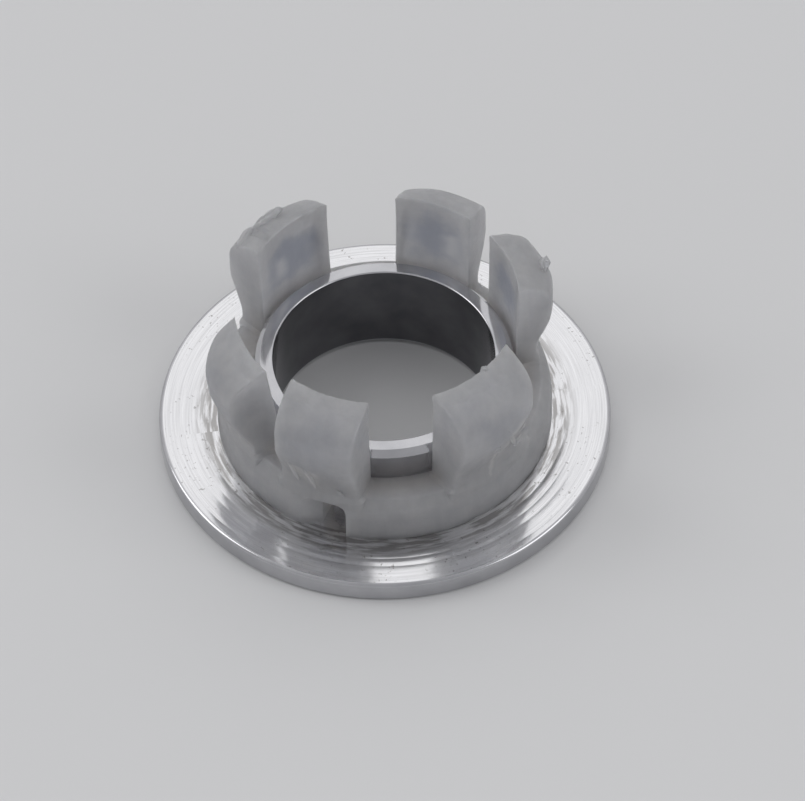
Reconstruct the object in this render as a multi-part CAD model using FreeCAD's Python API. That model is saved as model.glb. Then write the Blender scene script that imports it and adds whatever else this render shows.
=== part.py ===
import FreeCAD, Part
import math
import os

# Overflow trim ring for a wash basin, lying front face down with its snap fingers up.
# Millimetres, +Z runs from the front face along the fingers, origin at the centre of the front face.

# Metal ring, flange
FLANGE_R = 15.0
FLANGE_T = 1.5
RIM_ROUND = 0.25
FRONT_BORE_ROUND = 0.5

# Metal ring, collar
BORE_R = 7.3
COLLAR_WALL = 1.2
COLLAR_H = 5.6
LIP_BEVEL_R = 0.35
LIP_BEVEL_Z = 0.45
LIP_ROUND = 0.12
COLLAR_R = BORE_R + COLLAR_WALL
COLLAR_TOP = FLANGE_T + COLLAR_H

# Plastic clip, base ring that grips the collar and sits on the flange
CLIP_CLEARANCE = 0.03
BASE_WALL = 2.57
BASE_H = 3.3
BASE_ROUND = 0.5
BASE_IN_R = COLLAR_R + CLIP_CLEARANCE
BASE_R = BASE_IN_R + BASE_WALL
BASE_TOP = FLANGE_T + BASE_H

# Plastic clip, snap fingers: gap round the collar, outward flare of the inner face, flat land at the tip
FINGER_H = 7.95
FINGER_GAP = 0.25
FINGER_FLARE = 0.25
TIP_LAND = 1.15
TIP_DROP = 0.4
FINGER_IN_R = COLLAR_R + FINGER_GAP
TIP_IN_R = FINGER_IN_R + FINGER_FLARE
FINGER_TOP = BASE_TOP + FINGER_H

# Plastic clip, barb and the taper that springs it back into the hole
BARB_OUT = 0.65
LEAD_H = 1.65
BARB_LAND = 0.55
BARB_EDGE_ROUND = 0.25
BARB_R = BASE_R + BARB_OUT
BARB_TOP = FINGER_TOP - LEAD_H
BARB_LOW = BARB_TOP - BARB_LAND

# Plastic clip, finger root: how far it stands in from the base wall and how deep it is moulded in
NECK_IN = 0.8
NECK_H = 1.6
ROOT_SINK = 0.4
NECK_R = BASE_R - NECK_IN
NECK_Z = BASE_TOP + NECK_H

# Each pair of fingers stands opposite one another: angle of one of them and width across its sides
NARROW_FINGER_W = 5.2
WIDE_FINGER_W = 6.3
FINGER_PAIRS = ((13.4, NARROW_FINGER_W), (58.0, NARROW_FINGER_W), (125.0, WIDE_FINGER_W))
HALF_TURN = 180.0

# Rounded notch in the foot of the base ring
NOTCH_ANGLE = 239.5
NOTCH_W = 3.4
NOTCH_H = 2.8
NOTCH_ROUND = 1.3

UP = FreeCAD.Vector(0, 0, 1)
ORIGIN = FreeCAD.Vector(0, 0, 0)
SPARE = 1.0
NEAR = 1e-4


def turned(points):
    """Solid of revolution about Z from a closed list of (radius, height) points."""
    wire = Part.makePolygon([FreeCAD.Vector(r, 0, z) for r, z in points + [points[0]]])
    return Part.Face(wire).revolve(ORIGIN, UP, 360)


def circle_at(shape, radius, height):
    """The full circles about Z that lie at one radius and height."""
    found = []
    for edge in shape.Edges:
        curve = edge.Curve
        if not isinstance(curve, Part.Circle):
            continue
        if abs(curve.Radius - radius) < NEAR and abs(curve.Center.z - height) < NEAR:
            found.append(edge)
    return found


def make_flange_ring():
    """Turned metal ring: flat flange, collar with a bevelled lip, and a through bore."""
    ring = turned([
        (BORE_R, 0),
        (FLANGE_R, 0),
        (FLANGE_R, FLANGE_T),
        (COLLAR_R, FLANGE_T),
        (COLLAR_R, COLLAR_TOP - LIP_BEVEL_Z),
        (COLLAR_R - LIP_BEVEL_R, COLLAR_TOP),
        (BORE_R, COLLAR_TOP),
    ])
    rims = circle_at(ring, FLANGE_R, 0) + circle_at(ring, FLANGE_R, FLANGE_T)
    ring = ring.makeFillet(RIM_ROUND, rims)
    ring = ring.makeFillet(FRONT_BORE_ROUND, circle_at(ring, BORE_R, 0))
    return ring.makeFillet(LIP_ROUND, circle_at(ring, BORE_R, COLLAR_TOP))


def round_barb(finger):
    """Round the short upright corners at the two ends of the barb."""
    corners = []
    for edge in finger.Edges:
        ends = [vertex.Point for vertex in edge.Vertexes]
        on_barb = all(abs(math.hypot(p.x, p.y) - BARB_R) < NEAR for p in ends)
        if on_barb and abs(ends[0].z - ends[-1].z) > BARB_LAND / 2:
            corners.append(edge)
    return finger.makeFillet(BARB_EDGE_ROUND, corners)


def make_fingers():
    """Snap fingers, each cut with parallel sides out of one turned, barbed ring."""
    low = BASE_TOP - ROOT_SINK
    ring = turned([
        (FINGER_IN_R, low),
        (NECK_R, low),
        (NECK_R, NECK_Z),
        (BARB_R, BARB_LOW),
        (BARB_R, BARB_TOP),
        (TIP_IN_R + TIP_LAND, FINGER_TOP - TIP_DROP),
        (TIP_IN_R, FINGER_TOP),
    ])
    fingers = []
    for angle, width in FINGER_PAIRS:
        for turn in (0, HALF_TURN):
            corner = FreeCAD.Vector(0, -width / 2, low)
            block = Part.makeBox(BARB_R + SPARE, width, FINGER_TOP, corner)
            block.rotate(ORIGIN, UP, angle + turn)
            fingers.append(round_barb(ring.common(block).Solids[0]))
    return fingers


def make_notch():
    """Cutter for the notch: a slot through the base wall with rounded upper corners."""
    corner = FreeCAD.Vector(BORE_R, -NOTCH_W / 2, 0)
    top = FLANGE_T + NOTCH_H
    cutter = Part.makeBox(BASE_R + SPARE - BORE_R, NOTCH_W, top, corner)
    upper = []
    for edge in cutter.Edges:
        ends = [vertex.Point for vertex in edge.Vertexes]
        if abs(ends[0].y - ends[1].y) < NEAR and all(abs(p.z - top) < NEAR for p in ends):
            upper.append(edge)
    cutter = cutter.makeFillet(min(NOTCH_ROUND, 0.45 * NOTCH_W), upper)
    cutter.rotate(ORIGIN, UP, NOTCH_ANGLE)
    return cutter


def make_clip_ring():
    """Moulded clip: base ring round the collar, snap fingers, and the notch in its foot."""
    base = turned([
        (BASE_IN_R, FLANGE_T),
        (BASE_R, FLANGE_T),
        (BASE_R, BASE_TOP),
        (BASE_IN_R, BASE_TOP),
    ])
    base = base.makeFillet(BASE_ROUND, circle_at(base, BASE_R, BASE_TOP))
    clip = base.fuse(make_fingers()).removeSplitter()
    return clip.cut(make_notch()).removeSplitter()


def main():
    os.makedirs("parts", exist_ok=True)
    for name, shape in (("flange_ring", make_flange_ring()), ("clip_ring", make_clip_ring())):
        shape.exportStep("parts/" + name + ".step")
        print(name, shape.isValid(), len(shape.Solids), "solid", round(shape.Volume, 2), "mm3")


main()
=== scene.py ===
import math

import bmesh
import bpy
from mathutils import Matrix, Vector, noise


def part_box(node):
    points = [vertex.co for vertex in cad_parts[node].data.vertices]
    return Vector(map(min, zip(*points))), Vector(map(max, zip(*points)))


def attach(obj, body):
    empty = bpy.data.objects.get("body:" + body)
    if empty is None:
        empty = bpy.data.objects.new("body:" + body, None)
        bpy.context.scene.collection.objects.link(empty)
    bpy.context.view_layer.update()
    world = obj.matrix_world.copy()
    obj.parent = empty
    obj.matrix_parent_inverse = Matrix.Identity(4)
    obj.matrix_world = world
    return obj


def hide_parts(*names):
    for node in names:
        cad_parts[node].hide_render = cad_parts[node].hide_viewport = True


# Overflow trim ring for a wash basin: a turned metal ring lying front face down, and the plastic
# snap clip that grips its collar. Lengths in this script are millimetres in the row frame unless
# a name says otherwise; MM turns them into Blender's metres.
MM = 0.001

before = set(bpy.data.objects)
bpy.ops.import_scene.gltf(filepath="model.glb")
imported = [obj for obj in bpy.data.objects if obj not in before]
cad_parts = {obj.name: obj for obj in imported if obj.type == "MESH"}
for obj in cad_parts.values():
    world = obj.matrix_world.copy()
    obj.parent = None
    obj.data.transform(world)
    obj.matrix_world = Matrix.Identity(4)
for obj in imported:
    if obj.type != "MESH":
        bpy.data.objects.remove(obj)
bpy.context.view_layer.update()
ring_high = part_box("flange_ring")[1]
clip_low, clip_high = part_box("clip_ring")

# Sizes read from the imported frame
FLANGE_R = ring_high.x / MM
COLLAR_TOP = ring_high.z / MM
FLANGE_T = clip_low.z / MM
FINGER_TOP = clip_high.z / MM

# Metal ring
BORE_R = 7.3
COLLAR_R = 8.5
RIM_ROUND = 0.25
FRONT_BORE_ROUND = 0.5
LIP_BEVEL_R = 0.35
LIP_BEVEL_Z = 0.45
LIP_ROUND = 0.12
COLLAR_FOOT_ROUND = 0.05
BEVEL_OUT_ROUND = 0.03
BEVEL_IN_ROUND = 0.04
RING_SEGMENTS = 288

# Tool grooves in the back of the flange: radius, width, depth
TURNING_GROOVES = (
    (13.35, 0.12, 0.008), (12.75, 0.10, 0.005), (12.07, 0.12, 0.008), (14.35, 0.06, 0.004),
)

# Clip, base ring; the soft shoulder's corners are (in from the wall, down from the top, rounding)
BASE_IN_R = 8.53
BASE_R = 11.1
BASE_TOP = 4.8
FOOT_IN_ROUND = 0.05
FOOT_OUT_ROUND = 0.08
TOP_IN_ROUND = 0.12
SHOULDER = ((0.0, 1.4, 1.2), (0.1, 0.75, 0.9), (0.7, 0.0, 0.3))
CLIP_SEGMENTS = 192

# Clip, notch in the foot: narrow inside, scooped wider towards the outside
NOTCH_ANGLE = 239.5
NOTCH_W = 3.4
NOTCH_H = 2.8
NOTCH_IN_W = 0.56 * NOTCH_W
NOTCH_TOP = FLANGE_T + NOTCH_H
NOTCH_FOOT = 0.5
NOTCH_ROUND = 0.44 * NOTCH_IN_W
NOTCH_SCOOP_R = 10.3
NOTCH_OVERCUT = 1.0
NOTCH_SPLAY = 2.0

# Clip, fingers: (height, radius) of the inner face and of the barb, before the finger leans
FINGER_DEPTH = 1.7
ROOT_Z = BASE_TOP - 0.9
NECK_Z = BASE_TOP + 1.1
FULL_NECK = 10.85
THIN_NECK = 10.4
INNER_FACE = ((ROOT_Z, 8.75), (BASE_TOP, 8.75), (FINGER_TOP, 9.0))
BARB_FACE = (
    (7.7, 11.5), (8.6, 11.85), (10.65, 11.85), (11.35, 11.53), (12.0, 10.93), (12.37, 9.9),
    (FINGER_TOP, 9.9),
)
FACE_SOFTEN = 0.3
TIP_DROP = 0.38
EDGE_ROUND = 0.17
ROOT_FLARE = 0.3
LEAN_PIVOT = (9.7, 5.0)
END_CUT_START = 0.1
END_CUT_POWER = 1.6
TIP_ZONE = 1.2
MOULD_WAVE = 0.012

# Mesh steps of a finger: radial, across and upward
RADIAL_STEP = 0.3
ACROSS_STEP = 0.18
UPWARD_STEP = 0.22

# Flash and scars of the moulding: ends (row angle, radius, height) and half thickness of each bead
FLASH_BEADS = (
    ((9.9, 11.15, 11.85), (11.4, 11.3, 11.95), 0.34),
    ((131.5, 10.75, 12.3), (122.0, 10.6, 12.5), 0.33),
    ((141.0, 11.0, 11.95), (134.5, 11.0, 12.1), 0.28),
    ((308.2, 8.95, 12.5), (309.2, 8.95, 12.6), 0.22),
    ((304.8, 11.75, 9.3), (310.9, 11.3, 6.6), 0.16),
    ((310.9, 11.3, 6.6), (316.4, 11.45, 7.4), 0.18),
    ((301.5, 11.4, 7.9), (301.9, 11.35, 7.6), 0.26),
    ((228.6, 11.55, 8.1), (231.6, 11.1, 5.9), 0.14),
    ((234.1, 11.45, 7.8), (237.7, 11.05, 5.7), 0.15),
    ((245.5, 11.05, 5.9), (247.5, 11.05, 5.5), 0.13),
)

# Pale smears, and painted glints on finger e's retention taper (row angles 231 and 236): row angle, range
# across, range in height, softness
MARKS_AND_GLINTS = (
    (303.8, (-0.45, -0.4), (4.9, 7.4), 0.25),
    (306.5, (0.3, 1.1), (7.2, 8.5), 0.7),
    (231.0, (-0.3, 0.4), (6.0, 7.4), 0.5),
    (236.0, (-0.2, 0.2), (5.7, 7.2), 0.5),
    (125.5, (0.9, 0.9), (8.9, 9.5), 0.9),
    (59.0, (-1.1, -1.1), (8.8, 9.7), 1.0),
)
MARK_AND_GLINT_WOBBLE = 0.25
MARK_AND_GLINT_COLOUR = (0.92, 0.91, 0.90)

# Bluish core of each finger, partly the plastic's tint and partly painted shade on the inner faces, and
# the warm inner foot of the clip
SHADED_CORE_EDGE = 2.2
SHADED_CORE_HEIGHTS = (9.0, 10.2)
SHADED_CORE_SOFT = 2.0
SHADED_CORE_WOBBLE = 0.7
SHADED_CORE_COLOUR = (0.38, 0.41, 0.49)
FOOT_COLOUR = (0.74, 0.69, 0.64)


class Finger:
    """One snap finger: its place and width, and how it differs from the others.

    end_cut bevels one end of the barb: positive the clockwise end, negative the other one.
    steps are (from, to, rise) across the torn tip.
    """

    def __init__(self, name, angle, width, neck, lean, end_cut=0.0, ragged=0.07, seed=0, steps=()):
        self.name = name
        self.angle = angle
        self.width = width
        self.outer_face = ((ROOT_Z, neck), (NECK_Z, neck)) + BARB_FACE
        self.lean = lean
        self.end_cut = end_cut
        self.ragged = ragged
        self.seed = seed
        self.steps = steps


FINGERS = (
    Finger("a", 125.5, 6.3, FULL_NECK, 0.6, end_cut=0.3, ragged=0.09, seed=1,
           steps=((0.05, 1.3, 0.24), (1.9, 3.2, 0.2))),
    Finger("b", 59.0, 5.35, THIN_NECK, -0.5, end_cut=-0.6, ragged=0.05, seed=2),
    Finger("c", 13.5, 5.05, THIN_NECK, -0.9, end_cut=0.8, seed=3),
    Finger("d", 303.8, 6.6, FULL_NECK, -0.8, end_cut=-0.5, ragged=0.1, seed=4),
    Finger("e", 237.9, 5.5, FULL_NECK, -0.4, ragged=0.1, seed=5),
    Finger("f", 195.3, 5.45, FULL_NECK, 5.8, end_cut=1.2, seed=6),
)


def rounded(corners, per_turn=48):
    """Points of a closed outline whose corners (a, b, radius) are rounded by arcs."""
    points = []
    count = len(corners)
    for i in range(count):
        here = Vector(corners[i][:2])
        radius = corners[i][2]
        back = (Vector(corners[i - 1][:2]) - here).normalized()
        ahead = (Vector(corners[(i + 1) % count][:2]) - here).normalized()
        if radius <= 0:
            points.append(here)
            continue
        half = back.angle(ahead) / 2
        centre = here + (back + ahead).normalized() * (radius / math.sin(half))
        start = here + back * (radius / math.tan(half)) - centre
        end = here + ahead * (radius / math.tan(half)) - centre
        turn = start.angle_signed(end)
        steps = max(2, round(abs(turn) / (2 * math.pi) * per_turn))
        for k in range(steps + 1):
            angle = -turn * k / steps
            c, s = math.cos(angle), math.sin(angle)
            points.append(centre + Vector((start.x * c - start.y * s, start.x * s + start.y * c)))
    return points


def mesh_object(name, verts, faces):
    """Object with a clean, outward-facing mesh made from millimetre points."""
    mesh = bpy.data.meshes.new(name)
    bm = bmesh.new()
    made = [bm.verts.new(Vector(v) * MM) for v in verts]
    for face in faces:
        bm.faces.new([made[i] for i in face])
    bmesh.ops.recalc_face_normals(bm, faces=bm.faces)
    bm.to_mesh(mesh)
    bm.free()
    obj = bpy.data.objects.new(name, mesh)
    bpy.context.scene.collection.objects.link(obj)
    return obj


def lathe(name, outline, segments):
    """Closed (radius, height) outline turned about Z."""
    verts, faces = [], []
    count = len(outline)
    for s in range(segments):
        angle = 2 * math.pi * s / segments
        for p in outline:
            verts.append((p[0] * math.cos(angle), p[0] * math.sin(angle), p[1]))
    for s in range(segments):
        for k in range(count):
            a = s * count + k
            b = s * count + (k + 1) % count
            c = (s + 1) % segments * count + (k + 1) % count
            d = (s + 1) % segments * count + k
            faces.append((a, b, c, d))
    return mesh_object(name, verts, faces)


def smooth_by_angle(obj, degrees):
    """Shades the mesh smooth, with edges sharper than the angle kept crisp."""
    for polygon in obj.data.polygons:
        polygon.use_smooth = True
    obj.data.set_sharp_from_angle(angle=math.radians(degrees))


def carve(obj, cutter, operation):
    """Applies one exact boolean and removes the cutter."""
    modifier = obj.modifiers.new("carve", "BOOLEAN")
    modifier.operation = operation
    modifier.solver = "EXACT"
    modifier.object = cutter
    depsgraph = bpy.context.evaluated_depsgraph_get()
    mesh = bpy.data.meshes.new_from_object(obj.evaluated_get(depsgraph))
    obj.modifiers.clear()
    obj.data = mesh
    bpy.data.objects.remove(cutter)


def table_value(table, z):
    """Linear interpolation in a (height, radius) table."""
    if z <= table[0][0]:
        return table[0][1]
    for (z0, r0), (z1, r1) in zip(table, table[1:]):
        if z <= z1:
            return r0 + (r1 - r0) * (z - z0) / (z1 - z0)
    return table[-1][1]


def face_radius(table, z):
    """Radius of a finger face at a height, with the table's corners softened."""
    shifts = (-1.0, -0.5, 0.0, 0.5, 1.0)
    return sum(table_value(table, z + s * FACE_SOFTEN) for s in shifts) / len(shifts)


def spaced(length, fine, step, fine_ends=(True, True)):
    """Positions from 0 to length: close together within fine of an end, then about a step apart."""
    near = [0.0, 0.27 * fine, 0.6 * fine, fine]
    low = near if fine_ends[0] else [0.0]
    high = [length - d for d in reversed(near)] if fine_ends[1] else [length]
    count = max(1, round((high[0] - low[-1]) / step))
    middle = [low[-1] + (high[0] - low[-1]) * k / count for k in range(1, count)]
    return low + middle + high


def round_box(point, size, radius):
    """Moves a point of a box's skin onto the same box with rounded edges; the foot stays square."""
    inner = [min(max(c, radius), s - radius) for c, s in zip(point, size)]
    inner[2] = min(point[2], size[2] - radius)
    away = Vector(point) - Vector(inner)
    if away.length < 1e-9:
        return Vector(point)
    return Vector(inner) + away.normalized() * radius


def finger_point(finger, point, size):
    """Maps a point of the finger's rounded box (radial, across, up) to the row frame."""
    share = point[0] / size[0]
    tip = FINGER_TOP - TIP_DROP * share
    z = ROOT_Z + (tip - ROOT_Z) * point[2] / size[2]
    across = point[1] - size[1] / 2
    side = across / (size[1] / 2)
    inner = face_radius(INNER_FACE, z)
    outer = face_radius(finger.outer_face, z)
    toward_end = -side if finger.end_cut > 0 else side
    cut = abs(finger.end_cut) * max(0.0, toward_end - END_CUT_START) ** END_CUT_POWER
    outer -= cut * max(0.0, min(1.0, (z - NECK_Z + 0.6) / 1.6))
    rise = max(0.0, z - BASE_TOP)
    if rise < ROOT_FLARE:
        flare = ROOT_FLARE - math.sqrt(ROOT_FLARE ** 2 - (ROOT_FLARE - rise) ** 2)
        across += flare * math.copysign(abs(side) ** 6, side)
        outer += flare * 0.4
    r = inner + (outer - inner) * share
    lean = math.radians(finger.lean)
    pivot_r, pivot_z = LEAN_PIVOT
    lift = max(0.0, z - pivot_z)
    r, z = r + math.sin(lean) * lift, z - math.sin(lean) * (r - pivot_r) * min(1.0, lift / 2)
    return Vector((math.sqrt(r * r - across * across), across, z))


def roughen(finger, local, point, size):
    """Trimmed, uneven tip and faint moulding waves."""
    near_tip = max(0.0, min(1.0, (point[2] - size[2] + TIP_ZONE) / TIP_ZONE))
    place = local * 2.3 + Vector((17.0 * finger.seed, 0, 0))
    for low, high, rise in finger.steps:
        if low < local.y < high:
            local.z += rise * near_tip ** 2 * min(1.0, 1.6 * point[0] / size[0])
    coarse = noise.noise(place)
    fine = noise.noise(place * 2.7)
    local.z += finger.ragged * near_tip ** 3 * (0.8 * coarse + 0.8 * fine)
    local.x += MOULD_WAVE * noise.noise(local * 1.1 + Vector((0, 9.0 * finger.seed, 0)))
    return local


def make_finger(finger):
    """Closed mesh of one finger, its foot sunk into the base ring."""
    size = (FINGER_DEPTH, finger.width, FINGER_TOP - ROOT_Z)
    radial = spaced(size[0], EDGE_ROUND, RADIAL_STEP)
    across = spaced(size[1], EDGE_ROUND, ACROSS_STEP)
    upward = spaced(size[2], EDGE_ROUND, UPWARD_STEP, (False, True))
    last = (len(radial) - 1, len(across) - 1, len(upward) - 1)
    index, verts, faces = {}, [], []
    turn = Matrix.Rotation(math.radians(finger.angle), 3, "Z")
    for i, a in enumerate(radial):
        for j, b in enumerate(across):
            for k, c in enumerate(upward):
                if 0 < i < last[0] and 0 < j < last[1] and 0 < k < last[2]:
                    continue
                box_point = round_box((a, b, c), size, EDGE_ROUND)
                local = finger_point(finger, box_point, size)
                index[i, j, k] = len(verts)
                verts.append(turn @ roughen(finger, local, box_point, size))
    for axis in range(3):
        u, v = [n for n in range(3) if n != axis]
        for end in (0, last[axis]):
            for p in range(last[u]):
                for q in range(last[v]):
                    quad = []
                    for dp, dq in ((0, 0), (1, 0), (1, 1), (0, 1)):
                        key = [0, 0, 0]
                        key[axis], key[u], key[v] = end, p + dp, q + dq
                        quad.append(index[tuple(key)])
                    faces.append(quad)
    return mesh_object("finger_" + finger.name, verts, faces)


def make_notch():
    """Cutter for the arched notch in the foot of the base ring, narrower inside than outside."""
    turn = Matrix.Rotation(math.radians(NOTCH_ANGLE), 3, "Z")
    verts = []
    sides = (
        (BASE_IN_R - 0.02, NOTCH_IN_W),
        (NOTCH_SCOOP_R, NOTCH_IN_W),
        (BASE_R, NOTCH_W),
        (BASE_R + NOTCH_OVERCUT, NOTCH_W + NOTCH_SPLAY),
    )
    for r, width in sides:
        right = NOTCH_W / 2
        left = right - width
        outline = rounded((
            (left, NOTCH_FOOT, 0),
            (right, NOTCH_FOOT, 0),
            (right, NOTCH_TOP, NOTCH_ROUND),
            (left, NOTCH_TOP, NOTCH_ROUND),
        ))
        verts += [turn @ Vector((r, p.x, p.y)) for p in outline]
    count = len(verts) // len(sides)
    faces = []
    for s in range(0, len(verts) - count, count):
        for k in range(count):
            after = (k + 1) % count
            faces.append((s + k, s + after, s + count + after, s + count + k))
    faces += [list(range(count)), list(range(len(verts) - count, len(verts)))]
    return mesh_object("notch", verts, faces)


def polar(angle, radius, height):
    """Point from a row angle, a radius and a height."""
    a = math.radians(angle)
    return Vector((radius * math.cos(a), radius * math.sin(a), height))


def make_bead(start, end, half):
    """Uneven bead of plastic from one point to another."""
    first, last = polar(*start), polar(*end)
    along = last - first
    turn = along.to_track_quat("Z", "Y").to_matrix()
    mesh = bpy.data.meshes.new("bead")
    bm = bmesh.new()
    bmesh.ops.create_icosphere(bm, subdivisions=3, radius=1.0)
    for vertex in bm.verts:
        swell = half * (1.0 + 0.5 * noise.noise(vertex.co * 2.1 + first))
        stretch = along.length / 2 + swell
        local = Vector((vertex.co.x * swell, vertex.co.y * swell, vertex.co.z * stretch))
        vertex.co = (turn @ local + (first + last) / 2) * MM
    bm.to_mesh(mesh)
    bm.free()
    bead = bpy.data.objects.new("bead", mesh)
    bpy.context.scene.collection.objects.link(bead)
    return bead


def make_clip():
    """The moulded clip: base ring, fingers and notch in one closed skin."""
    corners = [(BASE_IN_R, FLANGE_T, FOOT_IN_ROUND), (BASE_R, FLANGE_T, FOOT_OUT_ROUND)]
    corners += [(BASE_R - inward, BASE_TOP - down, radius) for inward, down, radius in SHOULDER]
    corners += [(BASE_IN_R, BASE_TOP, TOP_IN_ROUND)]
    clip = lathe("snap_clip", rounded(corners), CLIP_SEGMENTS)
    for finger in FINGERS:
        carve(clip, make_finger(finger), "UNION")
    for bead in FLASH_BEADS:
        carve(clip, make_bead(*bead), "UNION")
    carve(clip, make_notch(), "DIFFERENCE")
    smooth_by_angle(clip, 32)
    return clip


def flange_back():
    """Corners of the turned back of the flange, from the rim inwards, with its tool grooves."""
    corners = []
    for radius, width, depth in sorted(TURNING_GROOVES, reverse=True):
        corners.append((radius + width / 2, FLANGE_T, 0))
        corners.append((radius, FLANGE_T - depth, 0))
        corners.append((radius - width / 2, FLANGE_T, 0))
    return corners


def make_ring():
    """The turned metal ring: flange, collar with a bevelled lip, and bore."""
    corners = [
        (BORE_R, 0, FRONT_BORE_ROUND),
        (FLANGE_R, 0, RIM_ROUND),
        (FLANGE_R, FLANGE_T, RIM_ROUND),
    ]
    corners += flange_back()
    corners += [
        (COLLAR_R, FLANGE_T, COLLAR_FOOT_ROUND),
        (COLLAR_R, COLLAR_TOP - LIP_BEVEL_Z, BEVEL_OUT_ROUND),
        (COLLAR_R - LIP_BEVEL_R, COLLAR_TOP, BEVEL_IN_ROUND),
        (BORE_R, COLLAR_TOP, LIP_ROUND),
    ]
    ring = lathe("trim_ring", rounded(corners), RING_SEGMENTS)
    smooth_by_angle(ring, 28)
    return ring


class Nodes:
    """A small helper that adds and links shader nodes."""

    def __init__(self, name):
        self.material = bpy.data.materials.new(name)
        self.material.use_nodes = True
        self.tree = self.material.node_tree
        self.shader = self.tree.nodes["Principled BSDF"]
        self.position = self.add("ShaderNodeTexCoord").outputs["Object"]

    def add(self, kind, inputs=None, **settings):
        """New node; each input is a constant or a socket to link from."""
        node = self.tree.nodes.new(kind)
        for key, value in settings.items():
            setattr(node, key, value)
        for key, value in (inputs or {}).items():
            if isinstance(value, bpy.types.NodeSocket):
                self.tree.links.new(value, node.inputs[key])
            else:
                node.inputs[key].default_value = value
        return node

    def math(self, operation, a, b=0.0):
        """Result of one arithmetic step."""
        return self.add("ShaderNodeMath", {0: a, 1: b}, operation=operation).outputs[0]

    def noise(self, scale, detail=3.0, vector=None, roughness=0.5):
        """Cloud texture, in features per metre unless another vector is given."""
        place = vector or self.position
        inputs = {"Vector": place, "Scale": scale, "Detail": detail, "Roughness": roughness}
        return self.add("ShaderNodeTexNoise", inputs).outputs["Fac"]

    def spread(self, value, low, high, to_low, to_high, kind="LINEAR"):
        """Maps the range from low to high onto another range."""
        inputs = {"Value": value, "From Min": low, "From Max": high, "To Min": to_low, "To Max": to_high}
        return self.add("ShaderNodeMapRange", inputs, interpolation_type=kind).outputs["Result"]

    def ramp(self, value, stops):
        """Colour between two (place, colour) stops."""
        node = self.add("ShaderNodeValToRGB", {"Fac": value})
        for element, (place, colour) in zip(node.color_ramp.elements, stops):
            element.position = place
            element.color = (*colour, 1)
        return node.outputs["Color"]

    def radius(self):
        """Distance from the ring's axis, in metres."""
        inputs = {0: self.position, 1: (1, 1, 0)}
        flat = self.add("ShaderNodeVectorMath", inputs, operation="MULTIPLY").outputs[0]
        return self.add("ShaderNodeVectorMath", {0: flat}, operation="LENGTH").outputs["Value"]

    def swept(self, across, around):
        """Texture place that runs along the rings: features per millimetre of radius, and per radian."""
        split = self.add("ShaderNodeSeparateXYZ", {0: self.position})
        angle = self.math("ARCTAN2", split.outputs["Y"], split.outputs["X"])
        radial = self.math("MULTIPLY", self.radius(), across / MM)
        turned = self.math("MULTIPLY", self.math("ABSOLUTE", angle), around)
        inputs = {"X": radial, "Y": turned, "Z": self.math("SIGN", angle)}
        return self.add("ShaderNodeCombineXYZ", inputs).outputs[0]

    def bump(self, height, distance, strength=1.0, normal=None):
        """Relief on top of another normal; the distance is in metres."""
        inputs = {"Height": height, "Distance": distance, "Strength": strength}
        if normal is not None:
            inputs["Normal"] = normal
        return self.add("ShaderNodeBump", inputs).outputs["Normal"]

    def mix(self, share, first, second):
        """Colour between two colours; each may be a constant or a socket."""
        both = [c if isinstance(c, bpy.types.NodeSocket) else (*c, 1) for c in (first, second)]
        inputs = {0: share, 6: both[0], 7: both[1]}
        return self.add("ShaderNodeMix", inputs, data_type="RGBA").outputs[2]

    def along(self, direction):
        """Position measured along a direction, in millimetres."""
        inputs = {0: self.position, 1: Vector(direction) / MM}
        return self.add("ShaderNodeVectorMath", inputs, operation="DOT_PRODUCT").outputs["Value"]

    def band(self, value, low, high, soft):
        """One inside a range, falling to zero over the soft width outside it."""
        rising = self.spread(value, low - soft, low, 0.0, 1.0, "SMOOTHSTEP")
        falling = self.spread(value, high, high + soft, 1.0, 0.0, "SMOOTHSTEP")
        return self.math("MULTIPLY", rising, falling)

    def shaken(self, value, scale, wobble):
        """A distance in millimetres, shifted unevenly by up to the wobble."""
        return self.math("ADD", value, self.spread(self.noise(scale), 0.3, 0.7, -wobble, wobble))

    def patch(self, angle, across, height, soft, wobble):
        """One on a patch of the side that faces an angle: ranges across and in height, millimetres."""
        a = math.radians(angle)
        sideways = self.shaken(self.along((-math.sin(a), math.cos(a), 0)), 500.0, wobble)
        upward = self.shaken(self.along((0, 0, 1)), 640.0, wobble)
        flat = self.math("MULTIPLY", self.band(sideways, *across, soft), self.band(upward, *height, soft))
        facing = self.spread(self.along((math.cos(a), math.sin(a), 0)), 1.0, 3.0, 0.0, 1.0)
        return self.math("MULTIPLY", flat, facing)

    def link(self, socket, value):
        """Sets one of the shader's inputs, to a constant or from a socket."""
        if isinstance(value, bpy.types.NodeSocket):
            self.tree.links.new(value, self.shader.inputs[socket])
        else:
            self.shader.inputs[socket].default_value = value


def chrome_material():
    """Mirror-like plating of the collar, the rim and the front face; the bore gets a darker plating,
    painted shade.
    """
    n = Nodes("polished_chrome")
    cloud = n.noise(420.0, 3.0)
    rings = n.add("ShaderNodeCombineXYZ", {"X": n.radius(), "Y": n.along((0, 0, MM))}).outputs[0]
    n.link("Base Color", n.ramp(cloud, ((0.3, (0.46, 0.46, 0.48)), (0.7, (0.56, 0.56, 0.58)))))
    n.link("Metallic", 1.0)
    n.link("Roughness", n.spread(cloud, 0.3, 0.7, 0.06, 0.14))
    n.link("Normal", n.bump(n.noise(2500.0, 3.0, rings), 0.000006))
    return n.material


def bore_painted_shade_material():
    """Plating inside the bore, far darker than the chrome: painted shade for the shadow and dark
    reflections in the bore.
    """
    n = Nodes("bore_painted_shade")
    cloud = n.noise(420.0, 3.0)
    n.link("Base Color", n.ramp(cloud, ((0.3, (0.13, 0.13, 0.14)), (0.7, (0.19, 0.19, 0.20)))))
    n.link("Metallic", 1.0)
    n.link("Roughness", n.spread(cloud, 0.3, 0.7, 0.08, 0.16))
    return n.material


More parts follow.
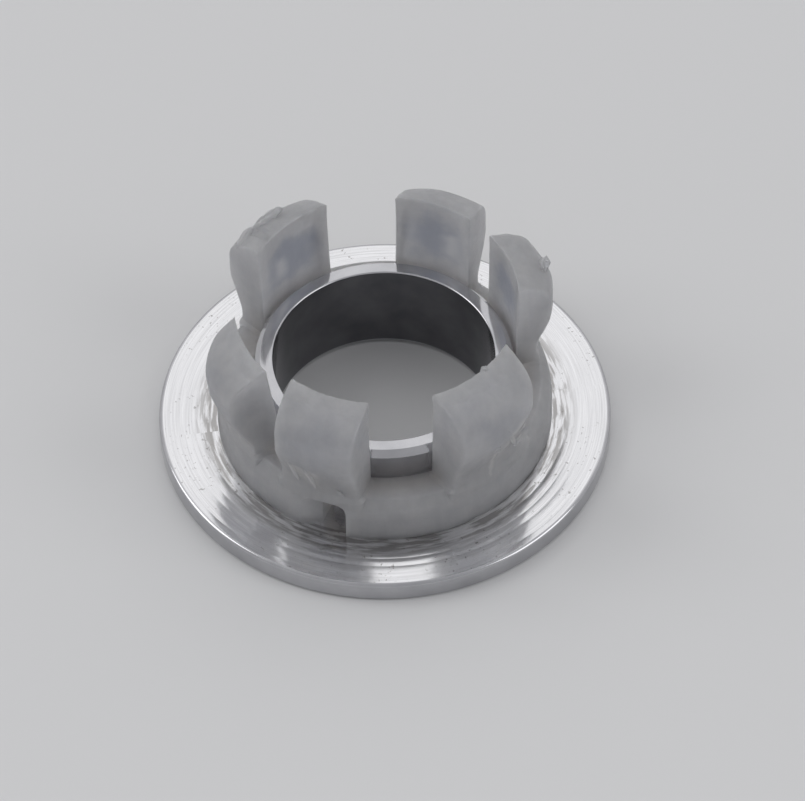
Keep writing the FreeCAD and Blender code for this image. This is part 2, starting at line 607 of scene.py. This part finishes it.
def turned_material():
    """Turned back of the flange: silver with rings, small pits, and darker blotches in a band just
    outside the clip's foot.
    """
    n = Nodes("turned_back")
    radius = n.radius()
    rings = n.add("ShaderNodeCombineXYZ", {"X": radius}).outputs[0]
    streak = n.noise(1.0, 5.0, n.swept(9.0, 2.2), 0.65)
    fine = n.noise(9000.0, 4.0, rings, 0.7)
    broad = n.noise(1500.0, 2.0, rings)
    cloud = n.noise(420.0, 4.0, None, 0.6)
    speck = n.spread(n.noise(3800.0, 3.0, None, 0.6), 0.63, 0.68, 0.0, 1.0)
    pit = n.math("MULTIPLY", speck, n.spread(cloud, 0.46, 0.54, 0.0, 1.0))
    # Darker blotches in a band from about 11.1 to 11.7 mm radius, just outside the clip's foot.
    foot_band = n.band(n.math("MULTIPLY", radius, 1 / MM), 11.1, 11.7, 1.3)
    foot_blotch_noise = n.spread(n.noise(1.0, 5.0, n.swept(3.5, 5.0)), 0.44, 0.56, 0.0, 1.0)
    foot_blotches = n.math("MULTIPLY", foot_band, foot_blotch_noise)
    tone = n.ramp(streak, ((0.32, (0.66, 0.66, 0.675)), (0.62, (0.82, 0.82, 0.835))))
    marked = n.mix(n.math("MULTIPLY", pit, 0.7), tone, (0.22, 0.21, 0.20))
    n.link("Base Color", n.mix(n.math("MULTIPLY", foot_blotches, 0.75), marked, (0.26, 0.25, 0.24)))
    n.link("Metallic", 1.0)
    n.link("Roughness", n.spread(n.math("ADD", broad, cloud), 0.7, 1.3, 0.10, 0.22))
    n.link("Normal", n.bump(fine, 0.000003, 1.0, n.bump(broad, 0.000005, 1.0, n.bump(cloud, 0.00001))))
    return n.material


def finish_ring(ring):
    """Chrome all over, apart from the turned back of the flange and the bore."""
    for material in (chrome_material(), turned_material(), bore_painted_shade_material()):
        ring.data.materials.append(material)
    for polygon in ring.data.polygons:
        reach = polygon.center.xy.length / MM
        on_back = polygon.center.z / MM > FLANGE_T - 0.2
        if on_back and COLLAR_R + 0.3 < reach < FLANGE_R - RIM_ROUND:
            polygon.material_index = 1
        # The bore gets the darker plating: painted shade for the shadow and dark reflections inside it.
        if reach < BORE_R + 0.01:
            polygon.material_index = 2


def plastic_material():
    """Milky translucent moulding: warm at the foot, scuffed and smeared."""
    n = Nodes("milky_plastic")
    cloud = n.noise(420.0, 6.0, None, 0.62)
    grain = n.noise(2600.0, 3.0)
    upright = n.add("ShaderNodeMapping", {"Vector": n.position, "Scale": (1.0, 1.0, 0.18)}).outputs[0]
    smear = n.noise(1500.0, 4.0, upright)
    colour = n.ramp(cloud, ((0.34, (0.54, 0.545, 0.565)), (0.66, (0.67, 0.67, 0.685))))
    colour = n.mix(n.spread(smear, 0.45, 0.65, 0.0, 0.18), colour, (0.80, 0.80, 0.81))
    # The bluish core is partly tint and partly painted shade: it is strongest on the fingers' inner faces
    # and weak on the outer ones.
    inner_face_weight = n.spread(n.radius(), 9.2 * MM, 10.5 * MM, 0.75, 0.2)
    for finger in FINGERS:
        half = finger.width / 2
        across = (SHADED_CORE_EDGE - half, half - SHADED_CORE_EDGE)
        shaded_core = n.patch(finger.angle, across, SHADED_CORE_HEIGHTS, SHADED_CORE_SOFT, SHADED_CORE_WOBBLE)
        colour = n.mix(n.math("MULTIPLY", shaded_core, inner_face_weight), colour, SHADED_CORE_COLOUR)
    low = n.spread(n.along((0, 0, 1)), 4.6, 7.4, 1.0, 0.0)
    inner = n.spread(n.radius(), 10.4 * MM, 9.2 * MM, 0.0, 1.0)
    foot = n.math("MULTIPLY", low, inner)
    colour = n.mix(n.math("MULTIPLY", foot, 0.5), colour, FOOT_COLOUR)
    # Pale patches: smears and witness marks, plus painted glints where the bright flange reflects in
    # finger e's taper.
    marks_and_glints = mark_and_glint_share(n)
    n.link("Base Color", n.mix(n.math("MULTIPLY", marks_and_glints, 0.55), colour, MARK_AND_GLINT_COLOUR))
    n.link("Roughness", n.spread(grain, 0.3, 0.7, 0.40, 0.54))
    n.link("Subsurface Weight", 1.0)
    n.link("Subsurface Radius", (1.0, 0.97, 0.94))
    n.link("Subsurface Scale", 4 * MM)
    n.link("Transmission Weight", 0.6)
    n.link("IOR", 1.48)
    relief = n.bump(grain, 0.00002, 0.5, n.bump(cloud, 0.00006, 0.4, n.bump(marks_and_glints, 0.00004, 0.8)))
    n.link("Normal", relief)
    return n.material


def mark_and_glint_share(n):
    """Share of the pale smears, witness marks and painted glints on the fingers; the glints sit on finger
    e's retention taper.
    """
    marks_and_glints = None
    for angle, across, height, soft in MARKS_AND_GLINTS:
        mark = n.patch(angle, across, height, soft, MARK_AND_GLINT_WOBBLE)
        marks_and_glints = mark if marks_and_glints is None else n.math("MAXIMUM", marks_and_glints, mark)
    return marks_and_glints


def floor_material():
    """Plain pale grey studio floor."""
    n = Nodes("studio_floor")
    stops = ((0.3, (0.66, 0.66, 0.665)), (0.7, (0.68, 0.68, 0.685)))
    n.link("Base Color", n.ramp(n.noise(6.0, 2.0), stops))
    n.link("Roughness", 0.7)
    return n.material


# Camera, from the photograph: focal length and axis place in pixels of an 805 x 801 picture
PICTURE_W = 805
PICTURE_H = 801
FOCAL_PX = 7000.0
AXIS_PX = (385.1, 425.3)
DISTANCE = 466.1
ELEVATION = 49.34
ROLL = -0.85
TURN = -8.0
SENSOR_W = 36.0

# Floor, just under the front face so that the two planes don't show through one another
FLOOR_Z = -0.02
FLOOR_HALF = 4e3

# Room light on the camera's side and behind the ring, and how strong it is
ROOM_NEAR = (0.62, 0.625, 0.64)
ROOM_FAR = (0.88, 0.88, 0.89)
ROOM_STRENGTH = 0.8

# Soft boxes: name, azimuth and elevation in the row frame, sides in metres, radiance
LAMP_DISTANCE = 0.6
LAMPS = (
    ("back_box", 82.0, 49.0, (0.6, 0.4), 0.3),
    ("left_box", 165.0, 40.0, (0.35, 0.35), 1.9),
    ("right_box", 335.0, 35.0, (0.35, 0.35), 1.5),
)


def make_camera():
    """Camera at the photograph's viewing angle."""
    e = math.radians(ELEVATION)
    roll = math.radians(ROLL)
    right = Vector((1, 0, 0))
    forward = Vector((0, math.cos(e), -math.sin(e)))
    down = -Vector((0, math.sin(e), math.cos(e)))
    c, s = math.cos(roll), math.sin(roll)
    tilted_right = right * c - down * s
    tilted_down = right * s + down * c
    aim_x = (AXIS_PX[0] - PICTURE_W / 2) / FOCAL_PX * DISTANCE
    aim_y = (AXIS_PX[1] - PICTURE_H / 2) / FOCAL_PX * DISTANCE
    place = -(tilted_right * aim_x + tilted_down * aim_y + forward * DISTANCE)
    turn = Matrix.Rotation(math.radians(TURN), 3, "Z")
    axes = Matrix((tilted_right, -tilted_down, -forward)).transposed()
    data = bpy.data.cameras.new("camera")
    data.sensor_width = SENSOR_W
    data.lens = FOCAL_PX * SENSOR_W / PICTURE_W
    data.clip_start = 0.05
    data.clip_end = 20.0
    camera = bpy.data.objects.new("camera", data)
    camera.matrix_world = Matrix.Translation(turn @ place * MM) @ (turn @ axes).to_4x4()
    bpy.context.scene.collection.objects.link(camera)
    bpy.context.scene.camera = camera


def area_lamp(name, azimuth, elevation, size, radiance):
    """Soft box aimed at the ring."""
    data = bpy.data.lights.new(name, "AREA")
    data.shape = "RECTANGLE"
    data.size, data.size_y = size
    data.energy = radiance * math.pi * size[0] * size[1]
    a, e = math.radians(azimuth), math.radians(elevation)
    away = Vector((math.cos(a) * math.cos(e), math.sin(a) * math.cos(e), math.sin(e)))
    lamp = bpy.data.objects.new(name, data)
    lamp.location = away * LAMP_DISTANCE
    lamp.rotation_euler = away.to_track_quat("Z", "Y").to_euler()
    bpy.context.scene.collection.objects.link(lamp)


def make_surroundings():
    """Soft grey room, brighter behind the ring than on the camera's side."""
    world = bpy.data.worlds.new("studio")
    bpy.context.scene.world = world
    world.use_nodes = True
    tree = world.node_tree
    background = tree.nodes["Background"]
    coord = tree.nodes.new("ShaderNodeTexCoord")
    split = tree.nodes.new("ShaderNodeSeparateXYZ")
    ramp = tree.nodes.new("ShaderNodeValToRGB")
    toward = tree.nodes.new("ShaderNodeMapRange")
    tree.links.new(coord.outputs["Generated"], split.inputs[0])
    tree.links.new(split.outputs["Y"], toward.inputs["Value"])
    toward.inputs["From Min"].default_value = -1.0
    toward.inputs["From Max"].default_value = 1.0
    tree.links.new(toward.outputs["Result"], ramp.inputs["Fac"])
    ramp.color_ramp.elements[0].color = (*ROOM_NEAR, 1)
    ramp.color_ramp.elements[0].position = 0.3
    ramp.color_ramp.elements[1].color = (*ROOM_FAR, 1)
    ramp.color_ramp.elements[1].position = 0.75
    tree.links.new(ramp.outputs["Color"], background.inputs["Color"])
    background.inputs["Strength"].default_value = ROOM_STRENGTH


def make_studio():
    """Plain floor, soft grey surroundings and soft boxes."""
    corners = [(x * FLOOR_HALF, y * FLOOR_HALF, FLOOR_Z) for x, y in ((-1, -1), (1, -1), (1, 1), (-1, 1))]
    floor = mesh_object("floor", corners, [(0, 1, 2, 3)])
    floor.data.materials.append(floor_material())
    make_surroundings()
    for lamp in LAMPS:
        area_lamp(*lamp)
    bpy.context.scene.view_settings.view_transform = "Standard"


ring = make_ring()
finish_ring(ring)
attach(ring, "root")
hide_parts("flange_ring")

clip = make_clip()
clip.data.materials.append(plastic_material())
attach(clip, "root")
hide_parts("clip_ring")

make_camera()
make_studio()
